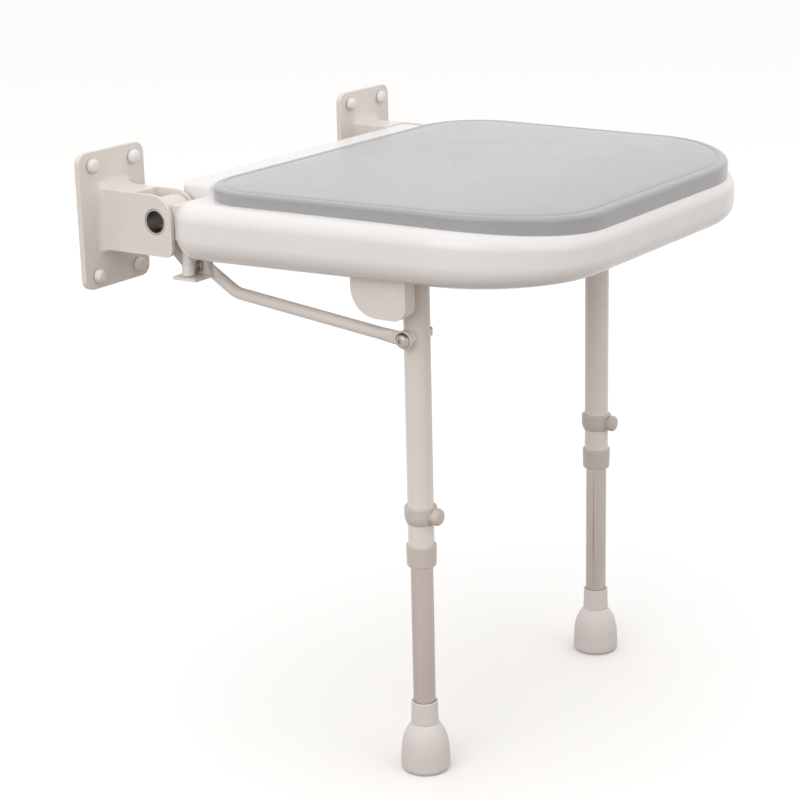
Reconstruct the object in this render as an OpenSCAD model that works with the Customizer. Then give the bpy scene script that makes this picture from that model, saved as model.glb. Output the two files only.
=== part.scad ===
// Fold-up shower seat: a padded seat on two wall brackets, with two height-adjustable legs.
// The origin lies on the wall plane, midway between the wall plates, at the height of their centres.
// +X is right as seen from the front, -Y points away from the wall, +Z is up.

/* [Stance] */
// Distance of each leg from the middle plane
leg_x = 174; // [165:1:178]
// Distance of the legs in front of the wall
leg_reach = 335; // [325:1:345]
// Height of the wall plates' centres over the floor
plate_height = 536; // [520:1:560]
// Distance of each wall bracket from the middle plane
bracket_x = 218; // [214:1:222]

/* [Wall bracket] */
// Width of the wall plate
plate_w = 95; // [88:1:98]
// Height of the wall plate
plate_h = 136; // [130:1:150]
// Thickness of the wall plate
plate_t = 6; // [4:0.5:8]
// Horizontal pitch of the wall screws
screw_pitch_x = 60; // [54:1:62]
// Vertical pitch of the wall screws
screw_pitch_z = 110; // [100:1:112]
// Diameter of the wall screw holes
wall_hole_d = 9; // [8:0.5:10]
// Width over the two cheeks of the bracket arm
arm_w = 40; // [40:0.5:42]
// Height of the bracket arm
arm_h = 60; // [56:1:64]
// Thickness of the cheeks
cheek_t = 4; // [3:0.5:4]

/* [Seat] */
// Half width of the seat rim at the back
rim_back_x = 262; // [256:1:264]
// Half width of the seat rim at the front
rim_front_x = 235; // [232:1:246]
// Distance of the rim's front from the wall
rim_reach = 508; // [504:1:530]
// Height of the moulded rim
rim_h = 57; // [56:0.5:57]
// Thickness of the pad
pad_t = 14; // [10:1:20]

/* [Legs] */
// Outer diameter of the upper leg tube
tube_d = 25.4; // [25:0.1:26]
// Wall thickness of the upper leg tube
tube_wall = 1.5; // [1.2:0.1:1.5]
// Outer diameter of the rubber foot
foot_d = 49; // [44:1:54]
// Height of the rubber foot
foot_h = 72.7; // [60:0.1:80]
// Spacing of the height holes in the inner tube
hole_pitch = 25; // [20:1:30]

/* [Hidden] */
$fn = 64;

floor_z = -plate_height;
leg_y = -leg_reach;
tube_r = tube_d / 2;

// The four pivots of each side's linkage as [Y, Z]; the link and the seat arm are equal and parallel.
seat_hinge = [-75, 4];
link_offset = [-22, -47];
link_rear = seat_hinge + link_offset;
leg_pivot = [leg_y + 22, -43];
link_front = leg_pivot + link_offset;
link_bend = [-138, -68];

// Wall bracket
corner_r = 11;
arm_y = -95;
arm_top_r = 24;
arm_bottom_r = 8;
box_y = -48;
cheek_out = bracket_x + arm_w / 2;
cheek_in = bracket_x - arm_w / 2;
pin_r = 13;
pin_bore_r = 10.75;
lug_r = 12;
ledge_top = -51.3;
ledge_t = 3.2;
cap_r = 7;
cap_h = 7;

// Seat hinge
knuckle_r = 22;
knuckle_w = 29;
arm_x = bracket_x - knuckle_w / 2;
bush_r = 15.5;
bush_gap = 0.05;
flange_t = 1.2;

// Seat frame
rail = 25;
rail_wall = 2;
rail_x = 185;
rail_top = 3;
rail_bottom = rail_top - rail;
frame_back = -130;
frame_front = -430;
cross_x = 214;
arm_top = 21;
arm_bottom = -13;
arm_front = -160;
arm_back = -91;

// Seat shell
rim_back_y = -104;
rim_top = 29;
rim_bottom = rim_top - rim_h;
rim_back_r = 30;
rim_front_r = 128;
top_round = 18;
bottom_round = 24;
shell_wall = 5;
flange_w = 21;
lip_x = 195;
lip_back = -72;
lip_front = -113.5;
lip_top = 37;
lip_bottom = -10;
post_r = 8;

// Cover and its screws
cover_t = 3.5;
cover_bottom = rail_bottom - cover_t;
screw_r = 2.5;
screw_top = 14;
screw_y = [-172, -258, -372, -415];

// Pad
pad_back_x = 242;
pad_front_x = 223;
pad_back_y = -114;
pad_front_y = -497;
pad_back_r = 70;
pad_front_r = 118;
pad_round = 6;

// Levelling screw
level_y = -97;
level_r = 4;
level_cap_r = 6;

// Leg bracket and block under the seat
base_t = 3;
base_bottom = cover_bottom - base_t;
inner_cheek_x = leg_x - 21.2;
base_out = leg_x + 41;
block_in = leg_x + 30.5;
block_out = leg_x + 47;
block_back = -293;
block_front = -354;
block_bottom = -66;

// Leg head and its pivot
head_w = 16.7;
head_r = 13;
pivot_r = 5;
pivot_bush_r = 8;

// Leg tubes: the inner tube slides in the upper tube and in the bush at its end
tube_top = -31;
tube_bottom = -317.5;
bore_r = tube_r - tube_wall;
run_gap = 0.05;
inner_r = bore_r - 0.1;
inner_wall = 1.2;
inner_top = -130;
inner_bottom = floor_z + 12;
ferrule_top = -298.8;
ferrule_bottom = -320.5;
ferrule_r = 14.8;

// Height collar and its spring knob
collar_top = -259.5;
collar_bottom = -277;
collar_z = (collar_top + collar_bottom) / 2;
height_steps = 4;
collar_r = 15.9;
boss_r = 6.5;
boss_reach = 20;
chamber_r = 4.9;
chamber_near = 13.2;
chamber_far = 19;
plunger_r = 2.5;
shoulder_r = 4.4;
shoulder_t = 1;
knob_travel = 3;
disc_t = 0.35;
disc_count = 2;
knob_r = 8.5;
knob_near = 17;
knob_far = 24;

// Link
link_x = leg_x + 21;
link_r = 6;
eye_r = 9;
eye_t = 5;
link_bolt_r = 4;

// Rubber foot
foot_neck_r = 13;
foot_neck_h = 24;

white = [0.94, 0.94, 0.93];
grey_pad = [0.78, 0.79, 0.80];
enamel = [0.82, 0.80, 0.77];
cream = [0.80, 0.77, 0.72];
steel = [0.62, 0.62, 0.62];
rubber = [0.83, 0.81, 0.79];

// Points of an arc about centre c, from angle a0 to angle a1
function arc(c, r, a0, a1, n = 10) =
    [for (i = [0 : n]) let (a = a0 + (a1 - a0) * i / n) c + r * [cos(a), sin(a)]];

function rounded_rect(w, h, r) = concat(
    arc([w / 2 - r, h / 2 - r], r, 0, 90), arc([r - w / 2, h / 2 - r], r, 90, 180),
    arc([r - w / 2, r - h / 2], r, 180, 270), arc([w / 2 - r, r - h / 2], r, 270, 360));

// Plan outline of the rim, moved inwards by inset
function rim_outline(inset) = concat(
    arc([rim_back_x - rim_back_r, rim_back_y - rim_back_r], rim_back_r - inset, 0, 90),
    arc([rim_back_r - rim_back_x, rim_back_y - rim_back_r], rim_back_r - inset, 90, 180),
    arc([rim_front_r - rim_front_x, rim_front_r - rim_reach], rim_front_r - inset, 180, 270),
    arc([rim_front_x - rim_front_r, rim_front_r - rim_reach], rim_front_r - inset, 270, 360));

// Draws its children, which are made for the right side, on the left side too when asked
module on_side(side) {
    if (side == "left") mirror([1, 0, 0]) children();
    else children();
}

// Extrudes a side profile, drawn as [Y, Z], from x0 to x1
module across(x0, x1) {
    translate([x0, 0, 0]) rotate([90, 0, 90]) linear_extrude(x1 - x0) children();
}

// A rod along X through the point [Y, Z]
module cross_rod(x0, x1, at, r) {
    translate([x0, at[0], at[1]]) rotate([0, 90, 0]) cylinder(r = r, h = x1 - x0);
}

// A rod that points away from the wall, from distance d0 to d1 in front of the point
module front_rod(at, d0, d1, r) {
    translate([at[0], at[1] - d0, at[2]]) rotate([90, 0, 0]) cylinder(r = r, h = d1 - d0);
}

module box(x0, x1, y0, y1, z0, z1) {
    translate([x0, y0, z0]) cube([x1 - x0, y1 - y0, z1 - z0]);
}

// ---- Wall bracket ----

module wall_screw_spots() {
    for (dx = [-1, 1], dz = [-1, 1])
        translate([bracket_x + dx * screw_pitch_x / 2, 0, dz * screw_pitch_z / 2])
            rotate([90, 0, 0]) children();
}

module cheek_outline() {
    polygon(concat(
        [[-plate_t, arm_h / 2]],
        arc([arm_y + arm_top_r, arm_h / 2 - arm_top_r], arm_top_r, 90, 180),
        arc([arm_y + arm_bottom_r, arm_bottom_r - arm_h / 2], arm_bottom_r, 180, 270),
        [[-plate_t, -arm_h / 2]]));
}

module lug_outline() {
    lug_front = link_rear[0] - lug_r;
    translate(link_rear) circle(lug_r);
    polygon([
        [arm_y + 45, arm_bottom_r - arm_h / 2], [arm_y + 1, arm_bottom_r - arm_h / 2],
        [lug_front, link_rear[1]], [lug_front - 3, ledge_top], [lug_front - 3, ledge_top - ledge_t],
        [lug_front + 25, ledge_top - ledge_t]]);
}

module wall_bracket() {
    color(enamel) difference() {
        union() {
            translate([bracket_x, 0, 0]) rotate([90, 0, 0]) linear_extrude(plate_t)
                polygon(rounded_rect(plate_w, plate_h, corner_r));
            across(cheek_out - cheek_t, cheek_out) cheek_outline();
            across(cheek_in, cheek_in + cheek_t) cheek_outline();
            across(cheek_in, cheek_in + cheek_t) lug_outline();
            difference() {
                box(cheek_in + 1, cheek_out - 1, box_y, -plate_t + 1, -arm_h / 2, arm_h / 2);
                box(cheek_in + cheek_t, cheek_out - cheek_t, box_y + 4, -plate_t,
                    4 - arm_h / 2, arm_h / 2 - 4);
            }
            box(cheek_in + 1, cheek_in + 28, link_rear[0] - lug_r - 3, link_rear[0] + lug_r + 1,
                ledge_top - ledge_t, ledge_top);
        }
        wall_screw_spots() translate([0, 0, -1]) cylinder(d = wall_hole_d, h = plate_t + 2);
        cross_rod(cheek_in - 1, cheek_out + 1, seat_hinge, pin_r);
        cross_rod(cheek_in - 1, cheek_in + cheek_t + 1, link_rear, link_bolt_r);
    }
}

module hinge_pin() {
    color(steel) difference() {
        cross_rod(cheek_in, cheek_out, seat_hinge, pin_r);
        cross_rod(cheek_in - 1, cheek_out + 1, seat_hinge, pin_bore_r);
    }
}

module cap_washers() {
    color(steel) wall_screw_spots() translate([0, 0, plate_t]) difference() {
        cylinder(r = cap_r - 0.2, h = 1);
        translate([0, 0, -1]) cylinder(d = wall_hole_d + 0.4, h = 3);
    }
}

module screw_caps() {
    cavity_r = 5.6;
    color(cream) wall_screw_spots() translate([0, 0, plate_t + 1]) rotate_extrude() polygon(concat(
        [[cavity_r, 0], [cap_r, 0]], arc([cap_r - 3, cap_h - 3], 3, 0, 90),
        [[0, cap_h], [0, cap_h - 1.2], [cavity_r, cap_h - 1.2]]));
}

module link_rear_bolt() {
    color(steel) {
        cross_rod(link_x - eye_t / 2 - 0.3 - 4.5, link_x - eye_t / 2 - 0.3, link_rear, 7);
        cross_rod(link_x - eye_t / 2 - 0.3 - 1, cheek_in + cheek_t + 6, link_rear, link_bolt_r);
    }
}

module link_rear_nut() {
    color(steel) difference() {
        cross_rod(cheek_in + cheek_t, cheek_in + cheek_t + 5, link_rear, 7, $fn = 6);
        cross_rod(cheek_in, cheek_in + cheek_t + 6, link_rear, link_bolt_r);
    }
}

// ---- Seat ----

module tube_box(x0, x1, y0, y1, wall) {
    box(x0 + wall, x1 - wall, y0 + wall, y1 - wall, rail_bottom + wall, rail_top - wall);
}

module frame_tubes(wall) {
    for (side = [-1, 1])
        tube_box(side * rail_x - rail / 2, side * rail_x + rail / 2, frame_front, frame_back, wall);
    for (y = [leg_y + 10, frame_front])
        tube_box(-rail_x - rail / 2, rail_x + rail / 2, y, y + rail, wall);
    tube_box(-cross_x, cross_x, frame_back - rail, frame_back, wall);
}

module seat_frame() {
    color(steel) difference() {
        union() {
            difference() {
                frame_tubes(0);
                frame_tubes(rail_wall);
            }
            for (side = ["left", "right"]) on_side(side) difference() {
                box(arm_x, arm_x + knuckle_w, arm_front, arm_back, arm_bottom, arm_top);
                box(arm_x + 3, arm_x + knuckle_w - 3, arm_front + 3, level_y - 9,
                    arm_bottom + 3, arm_top - 3);
            }
        }
        for (side = ["left", "right"]) on_side(side) {
            cross_rod(arm_x - 1, arm_x + knuckle_w + 1, seat_hinge, knuckle_r);
            level_hole();
            for (y = screw_y)
                translate([rail_x, y, rail_bottom - 1]) cylinder(r = screw_r, h = rail + 2);
        }
    }
}

module level_hole() {
    translate([bracket_x, level_y, arm_bottom - 10]) cylinder(r = level_r + 0.1, h = 32);
}

// The tube welded across the end of each frame arm
module hinge_knuckle() {
    color(steel) difference() {
        cross_rod(arm_x, arm_x + knuckle_w, seat_hinge, knuckle_r);
        level_hole();
        cross_rod(arm_x - 1, arm_x + knuckle_w + 1, seat_hinge, bush_r);
    }
}

// One corner of the rim: a disc with rounded edges, smaller by inset on every side
module rim_corner(r, inset) {
    rotate_extrude($fn = 32) difference() {
        hull() {
            translate([0, rim_bottom + inset]) square([1, rim_h - 2 * inset]);
            translate([r - top_round, rim_top - top_round]) circle(top_round - inset, $fn = 32);
            translate([r - bottom_round, rim_bottom + bottom_round])
                circle(bottom_round - inset, $fn = 32);
        }
        translate([-2 * rim_h, -2 * rim_h]) square([2 * rim_h, 4 * rim_h]);
    }
}

module rim_body(inset) {
    hull() for (side = [-1, 1]) {
        translate([side * (rim_back_x - rim_back_r), rim_back_y - rim_back_r, 0])
            rim_corner(rim_back_r, inset);
        translate([side * (rim_front_x - rim_front_r), rim_front_r - rim_reach, 0])
            rim_corner(rim_front_r, inset);
    }
}

module lip_body(inset) {
    r = 10;
    h = 8;
    hull() for (side = [-1, 1], y = [lip_back - r, lip_front + r], z = [lip_bottom + h, lip_top - h])
        translate([side * (lip_x - r), y, z])
            cylinder(r = r - inset, h = 2 * (h - inset), center = true, $fn = 32);
}

module seat_shell() {
    color(white) difference() {
        union() {
            difference() {
                union() {
                    rim_body(0);
                    lip_body(0);
                    box(-lip_x, lip_x, rim_back_y - 20, lip_front + 12, lip_bottom, rim_top);
                }
                rim_body(shell_wall);
                lip_body(shell_wall);
                box(shell_wall - lip_x, lip_x - shell_wall, rim_back_y - 20, lip_front + 13,
                    lip_bottom + shell_wall, rim_top - shell_wall);
            }
            for (side = [-1, 1], y = screw_y)
                translate([side * rail_x, y, rail_top]) cylinder(r = post_r, h = rim_top - 3 - rail_top);
        }
        translate([0, 0, rim_bottom - 1]) linear_extrude(shell_wall + 2) polygon(rim_outline(flange_w));
        for (side = ["left", "right"]) on_side(side) {
            box(bracket_x - 15, bracket_x + 15, rim_back_y - 14, rim_back_y + 2,
                arm_bottom - 0.5, arm_top + 0.5);
            for (y = screw_y)
                translate([rail_x, y, rail_top - 1]) cylinder(r = screw_r, h = screw_top - rail_top + 1);
        }
    }
}

module base_cover() {
    color(white) difference() {
        translate([0, 0, cover_bottom]) linear_extrude(cover_t) polygon(rim_outline(flange_w + 0.5));
        for (side = [-1, 1], y = screw_y)
            translate([side * rail_x, y, cover_bottom - 1]) cylinder(r = screw_r, h = cover_t + 2);
    }
}

module seat_screws() {
    color(steel) for (side = [-1, 1], y = screw_y) translate([side * rail_x, y, cover_bottom - 2]) {
        cylinder(r = 4.5, h = 2);
        cylinder(r = screw_r, h = screw_top - cover_bottom + 2);
    }
}

module pad_corner(r) {
    rotate_extrude($fn = 48) polygon(concat(
        [[0, 0], [r, 0]], arc([r - pad_round, pad_t - pad_round], pad_round, 0, 90, 5), [[0, pad_t]]));
}

module seat_pad() {
    color(grey_pad) translate([0, 0, rim_top]) hull() for (side = [-1, 1]) {
        translate([side * (pad_back_x - pad_back_r), pad_back_y - pad_back_r, 0])
            pad_corner(pad_back_r);
        translate([side * (pad_front_x - pad_front_r), pad_front_y + pad_front_r, 0])
            pad_corner(pad_front_r);
    }
}

// Two flanged bushes, pressed in from both ends of the knuckle
module hinge_bushes() {
    color(white) difference() {
        for (side = [-1, 1]) {
            near = bracket_x + side * knuckle_w / 2;
            far = near + side * flange_t;
            inner = bracket_x + side * 0.25;
            cross_rod(min(near, far), max(near, far), seat_hinge, 19);
            cross_rod(min(inner, far), max(inner, far), seat_hinge, bush_r);
        }
        cross_rod(cheek_in, cheek_out, seat_hinge, pin_r + bush_gap);
    }
}

module levelling_screw() {
    color(steel) translate([bracket_x, level_y, ledge_top + 4]) cylinder(r = level_r, h = 56);
}

module levelling_cap() {
    color(white) translate([bracket_x, level_y, ledge_top + 0.3]) difference() {
        cylinder(r = level_cap_r, h = 25);
        translate([0, 0, 3.7]) cylinder(r = level_r, h = 25);
    }
}

// ---- Leg bracket and pivot ----

module leg_bracket() {
    color(enamel) difference() {
        union() {
            box(inner_cheek_x - 12, base_out, block_front, block_back + 8, base_bottom, cover_bottom);
            across(inner_cheek_x, inner_cheek_x + 4) {
                translate(leg_pivot) circle(15);
                translate([leg_pivot[0] - 15, leg_pivot[1]])
                    square([30, cover_bottom - leg_pivot[1] - 1]);
            }
        }
        cross_rod(inner_cheek_x - 1, inner_cheek_x + 5, leg_pivot, pivot_r);
    }
}

module leg_block() {
    back_r = 28;
    front_r = 14;
    color(enamel) difference() {
        across(block_in, block_out) polygon(concat(
            [[block_front, base_bottom], [block_back, base_bottom]],
            arc([block_back - back_r, block_bottom + back_r], back_r, 0, -90),
            arc([block_front + front_r, block_bottom + front_r], front_r, 270, 180)));
        cross_rod(block_in - 1, block_out - 4, leg_pivot, pivot_r);
    }
}

module leg_pivot_pin() {
    color(steel) {
        cross_rod(inner_cheek_x - 4, inner_cheek_x, leg_pivot, 8);
        cross_rod(inner_cheek_x - 1, block_out - 4, leg_pivot, pivot_r);
    }
}

module pivot_bush() {
    color(white) difference() {
        cross_rod(leg_x - head_w - 0.2, block_in - 0.3, leg_pivot, pivot_bush_r);
        cross_rod(leg_x - head_w - 1, block_in, leg_pivot, pivot_r + bush_gap);
    }
}

module leg_head() {
    color(enamel) difference() {
        union() {
            cross_rod(leg_x - head_w, leg_x + head_w, leg_pivot, head_r);
            box(leg_x - head_w, leg_x + head_w, leg_y - 4, leg_pivot[0],
                leg_pivot[1] - head_r, leg_pivot[1] + head_r);
        }
        translate([leg_x, leg_y, -80]) cylinder(r = tube_r, h = 60);
        cross_rod(leg_x - 20, leg_x + 20, leg_pivot, pivot_bush_r);
    }
}

// ---- Leg tube and its fittings ----

module leg_tube() {
    color(enamel) difference() {
        translate([leg_x, leg_y, tube_bottom]) cylinder(r = tube_r, h = tube_top - tube_bottom);
        translate([leg_x, leg_y, tube_bottom - 1])
            cylinder(r = bore_r, h = tube_top - tube_bottom - tube_wall + 1);
        cross_rod(leg_x - 20, leg_x + 20, link_front, link_bolt_r);
        front_rod([leg_x, leg_y, collar_z], 0, 20, plunger_r + 0.2);
    }
}

module link_bolt() {
    head_x = link_x + eye_t / 2 + 0.3;
    color(steel) {
        cross_rod(leg_x - tube_r - 6, head_x + 1, link_front, link_bolt_r);
        translate([head_x, link_front[0], link_front[1]]) rotate([0, 90, 0]) rotate_extrude()
            polygon(concat([[0, 0], [7.5, 0], [7.5, 2]], arc([4, 2], 3.5, 0, 90, 6), [[0, 5.5]]));
    }
}

module link_nut() {
    color(steel) difference() {
        cross_rod(leg_x - tube_r - 5, leg_x - tube_r, link_front, 7, $fn = 6);
        cross_rod(leg_x - tube_r - 6, leg_x, link_front, link_bolt_r);
    }
}

module link_spacer() {
    color(white) difference() {
        cross_rod(leg_x + tube_r - 0.5, link_x - eye_t / 2 - 0.3, link_front, 7.5);
        cross_rod(leg_x, link_x, link_front, link_bolt_r);
        translate([leg_x, leg_y, link_front[1] - 20]) cylinder(r = tube_r, h = 40);
    }
}

module height_collar() {
    color(cream) difference() {
        union() {
            translate([leg_x, leg_y, collar_bottom])
                cylinder(r = collar_r, h = collar_top - collar_bottom);
            front_rod([leg_x, leg_y, collar_z], tube_r, boss_reach, boss_r);
        }
        translate([leg_x, leg_y, collar_bottom - 1])
            cylinder(r = tube_r, h = collar_top - collar_bottom + 2);
        front_rod([leg_x, leg_y, collar_z], chamber_near, chamber_far, chamber_r);
        front_rod([leg_x, leg_y, collar_z], 0, boss_reach + 1, plunger_r + run_gap);
    }
}

// A stack of conical spring discs, drawn at its shortest
module knob_spring() {
    cone = 0.15;
    pitch = disc_t + cone + 0.1;
    color(steel) for (i = [0 : disc_count - 1])
        translate([leg_x, leg_y - chamber_far + (i + 1) * pitch, collar_z]) rotate([90, 0, 0])
            rotate_extrude() polygon([[plunger_r + 0.3, cone], [chamber_r - 0.3, 0],
                [chamber_r - 0.3, disc_t], [plunger_r + 0.3, disc_t + cone]]);
}

module height_knob() {
    at = [leg_x, leg_y, collar_z];
    cap_floor = boss_reach + 0.3 - knob_near;
    depth = knob_far - knob_near;
    color(cream) {
        front_rod(at, inner_r + 0.2, boss_reach + 1, plunger_r);
        front_rod(at, chamber_near + 0.1, chamber_near + 0.1 + shoulder_t, shoulder_r);
        translate([leg_x, leg_y - knob_near, collar_z]) rotate([90, 0, 0]) rotate_extrude()
            polygon(concat([[0, cap_floor], [boss_r + 0.3, cap_floor], [boss_r + 0.3, 0], [knob_r, 0]],
                arc([knob_r - 2, depth - 2], 2, 0, 90, 6), [[0, depth]]));
    }
}

module tube_end_bush() {
    color(cream) translate([leg_x, leg_y, 0]) rotate_extrude() polygon([
        [inner_r + run_gap, ferrule_bottom], [ferrule_r, ferrule_bottom], [ferrule_r, ferrule_top - 1],
        [ferrule_r - 1, ferrule_top], [tube_r, ferrule_top], [tube_r, tube_bottom],
        [inner_r + run_gap, tube_bottom]]);
}

module inner_tube() {
    color(steel) difference() {
        translate([leg_x, leg_y, inner_bottom]) cylinder(r = inner_r, h = inner_top - inner_bottom);
        translate([leg_x, leg_y, inner_bottom - 1])
            cylinder(r = inner_r - inner_wall, h = inner_top - inner_bottom + 2);
        for (i = [0 : height_steps])
            front_rod([leg_x, leg_y, collar_z + i * hole_pitch], 0, 20, plunger_r + 0.3);
    }
}

module rubber_foot() {
    neck_z = foot_h - foot_neck_h;
    flare_r = foot_d / 2 - 3;
    bell_r = foot_d / 2;
    color(rubber) translate([leg_x, leg_y, floor_z]) rotate_extrude() polygon(concat(
        [[0, 0], [bell_r - 4, 0]],
        arc([bell_r - 4, 4], 4, -90, 0, 6), [[bell_r, 14]],
        [for (i = [1 : 8]) let (t = i / 8, s = t * t * (3 - 2 * t))
            [flare_r + 3 - (flare_r + 3 - foot_neck_r) * s, 14 + (neck_z - 14) * t]],
        [[foot_neck_r, foot_h], [inner_r, foot_h], [inner_r, 10], [0, 10]]));
}

module foot_washer() {
    color(steel) translate([leg_x, leg_y, floor_z + 10]) cylinder(r = inner_r - 0.1, h = 2);
}

// ---- Link ----

// Start and end of the round part of the link, and the flattened eye at each end
module link_piece(from, to, r) {
    d = to - from;
    translate([link_x, from[0], from[1]]) rotate([atan2(-d[0], d[1]), 0, 0])
        cylinder(r = r, h = norm(d));
}

module link_eye(at, toward, reach) {
    d = (toward - at) / norm(toward - at);
    n = [-d[1], d[0]] * 7;
    translate(at) circle(eye_r);
    polygon([at + n, at - n, at + d * reach - n, at + d * reach + n]);
}

module link_bar() {
    rear_dir = (link_bend - link_rear) / norm(link_bend - link_rear);
    front_dir = (link_bend - link_front) / norm(link_bend - link_front);
    color(enamel) difference() {
        union() {
            link_piece(link_rear + rear_dir * 30, link_bend, link_r);
            link_piece(link_bend, link_front + front_dir * 24, link_r);
            translate([link_x, link_bend[0], link_bend[1]]) sphere(r = link_r + 0.2);
            across(link_x - eye_t / 2, link_x + eye_t / 2) {
                link_eye(link_rear, link_bend, 34);
                link_eye(link_front, link_bend, 28);
            }
        }
        cross_rod(link_x - 5, link_x + 5, link_rear, link_bolt_r + bush_gap);
        cross_rod(link_x - 5, link_x + 5, link_front, link_bolt_r + 0.4);
    }
}

on_side("left") wall_bracket();  // wall_bracket_left
on_side("right") wall_bracket();  // wall_bracket_right
on_side("left") hinge_pin();  // hinge_pin_left
on_side("right") hinge_pin();  // hinge_pin_right
on_side("left") cap_washers();  // cap_washers_left
on_side("right") cap_washers();  // cap_washers_right
on_side("left") screw_caps();  // screw_caps_left
on_side("right") screw_caps();  // screw_caps_right
on_side("left") link_rear_bolt();  // link_rear_bolt_left
on_side("right") link_rear_bolt();  // link_rear_bolt_right
on_side("left") link_rear_nut();  // link_rear_nut_left
on_side("right") link_rear_nut();  // link_rear_nut_right
seat_frame();
seat_shell();
base_cover();
seat_screws();
seat_pad();
on_side("left") hinge_knuckle();  // hinge_knuckle_left
on_side("right") hinge_knuckle();  // hinge_knuckle_right
on_side("left") hinge_bushes();  // hinge_bushes_left
on_side("right") hinge_bushes();  // hinge_bushes_right
on_side("left") levelling_screw();  // levelling_screw_left
on_side("right") levelling_screw();  // levelling_screw_right
on_side("left") levelling_cap();  // levelling_cap_left
on_side("right") levelling_cap();  // levelling_cap_right
on_side("left") leg_bracket();  // leg_bracket_left
on_side("right") leg_bracket();  // leg_bracket_right
on_side("left") leg_block();  // leg_block_left
on_side("right") leg_block();  // leg_block_right
on_side("left") leg_pivot_pin();  // leg_pivot_pin_left
on_side("right") leg_pivot_pin();  // leg_pivot_pin_right
on_side("left") leg_tube();  // leg_tube_left
on_side("right") leg_tube();  // leg_tube_right
on_side("left") leg_head();  // leg_head_left
on_side("right") leg_head();  // leg_head_right
on_side("left") pivot_bush();  // pivot_bush_left
on_side("right") pivot_bush();  // pivot_bush_right
on_side("left") link_bolt();  // link_bolt_left
on_side("right") link_bolt();  // link_bolt_right
on_side("left") link_nut();  // link_nut_left
on_side("right") link_nut();  // link_nut_right
on_side("left") link_spacer();  // link_spacer_left
on_side("right") link_spacer();  // link_spacer_right
on_side("left") height_collar();  // height_collar_left
on_side("right") height_collar();  // height_collar_right
on_side("left") knob_spring();  // knob_spring_left
on_side("right") knob_spring();  // knob_spring_right
on_side("left") tube_end_bush();  // tube_end_bush_left
on_side("right") tube_end_bush();  // tube_end_bush_right
on_side("left") link_bar();  // link_bar_left
on_side("right") link_bar();  // link_bar_right
on_side("left") inner_tube();  // inner_tube_left
on_side("right") inner_tube();  // inner_tube_right
on_side("left") rubber_foot();  // rubber_foot_left
on_side("right") rubber_foot();  // rubber_foot_right
on_side("left") foot_washer();  // foot_washer_left
on_side("right") foot_washer();  // foot_washer_right
on_side("left") height_knob();  // height_knob_left
on_side("right") height_knob();  // height_knob_right
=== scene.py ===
"""Looks of a wall-mounted fold-up shower seat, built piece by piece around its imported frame."""

import math

import bmesh
import bpy
from bpy.props import FloatProperty, FloatVectorProperty, PointerProperty
from mathutils import Matrix, Vector


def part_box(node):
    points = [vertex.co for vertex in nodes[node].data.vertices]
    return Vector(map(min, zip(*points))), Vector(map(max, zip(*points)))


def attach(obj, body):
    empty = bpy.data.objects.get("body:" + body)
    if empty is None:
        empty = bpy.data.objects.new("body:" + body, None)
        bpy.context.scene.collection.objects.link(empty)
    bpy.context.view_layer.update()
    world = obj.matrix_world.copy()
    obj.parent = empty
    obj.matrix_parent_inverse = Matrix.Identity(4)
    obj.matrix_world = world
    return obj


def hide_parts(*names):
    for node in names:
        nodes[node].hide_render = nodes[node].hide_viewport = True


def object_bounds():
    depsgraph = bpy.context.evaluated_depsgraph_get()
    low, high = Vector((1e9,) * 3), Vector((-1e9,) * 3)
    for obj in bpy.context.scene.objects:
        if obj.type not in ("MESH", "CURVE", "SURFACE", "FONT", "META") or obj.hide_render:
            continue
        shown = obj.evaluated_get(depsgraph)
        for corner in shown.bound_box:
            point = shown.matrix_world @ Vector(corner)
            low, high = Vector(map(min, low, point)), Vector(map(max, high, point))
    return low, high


bl_info = {
    "name": "Fold-up shower seat",
    "version": (1, 0, 0),
    "blender": (4, 5, 0),
    "location": "View3D > Sidebar > Shower seat",
    "description": "Builds the padded seat, its wall brackets, link bars and telescopic legs",
    "category": "Object",
}

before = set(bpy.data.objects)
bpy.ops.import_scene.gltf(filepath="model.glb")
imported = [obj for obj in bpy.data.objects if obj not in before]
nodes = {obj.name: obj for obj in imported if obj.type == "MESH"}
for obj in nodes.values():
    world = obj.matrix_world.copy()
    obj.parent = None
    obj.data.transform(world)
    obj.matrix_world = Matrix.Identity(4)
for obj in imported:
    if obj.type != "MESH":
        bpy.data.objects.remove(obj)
cad_bounds = [list(corner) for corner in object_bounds()]

MM = 0.001
SIDES = {"left": -1, "right": 1}
MERGE = 1e-6
SHARP = math.radians(38)

rim_lo, rim_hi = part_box("seat_shell")
pad_lo, pad_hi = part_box("seat_pad")


# ---- Settings ----


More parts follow.
